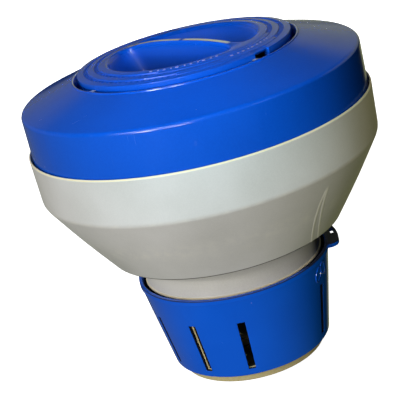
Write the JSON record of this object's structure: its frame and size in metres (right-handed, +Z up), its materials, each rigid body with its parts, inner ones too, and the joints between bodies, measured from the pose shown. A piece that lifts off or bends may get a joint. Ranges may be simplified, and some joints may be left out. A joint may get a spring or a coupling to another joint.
{
  "type": "floating chlorine dispenser",
  "caption": "Floating pool chlorine dispenser: round two-shell float, twist-off lid with a grip bar, tablet canister and a turning slotted vent collar below.",
  "frame": {"origin": "centre of the base, at the bottom of the bounding box", "axes": "+Z up along the axis of the float; +X towards the tether tab; -Y is the front, where a vent slot faces"},
  "size_m": [0.194, 0.194, 0.1905],
  "materials": {
    "lid": "moulded, satin gloss",
    "lid_seal": "matte",
    "float_cover": "moulded, gloss",
    "rim_seal": "matte",
    "float_bowl": "moulded, satin",
    "neck_seal": "matte",
    "well_seal": "matte",
    "clamp_nut": "moulded",
    "canister": "moulded",
    "vent_collar": "moulded, gloss",
    "base_cap": "moulded"
  },
  "bodies": {
    "float": {"float_cover": "float_cover", "float_bowl": "float_bowl", "rim_seal": "rim_seal", "neck_seal": "neck_seal", "well_seal": "well_seal", "clamp_nut": "clamp_nut", "canister": "canister", "base_cap": "base_cap"},
    "lid_carrier": {"lid_seal": "lid_seal"},
    "lid": {"lid": "lid"},
    "collar": {"vent_collar": "vent_collar"}
  },
  "joints": [
    {"name": "lid_lift", "type": "slide", "parent": "float", "child": "lid_carrier", "axis": [0, 0, 1], "range_m": [0, 0.06]},
    {"name": "lid_turn", "type": "hinge", "parent": "lid_carrier", "child": "lid", "pos_m": [0, 0, 0.175], "axis": [0, 0, 1], "range_deg": [-40, 0]},
    {"name": "collar_turn", "type": "hinge", "parent": "float", "child": "collar", "pos_m": [0, 0, 0.03], "axis": [0, 0, 1], "range_deg": [-16, 16]}
  ]
}
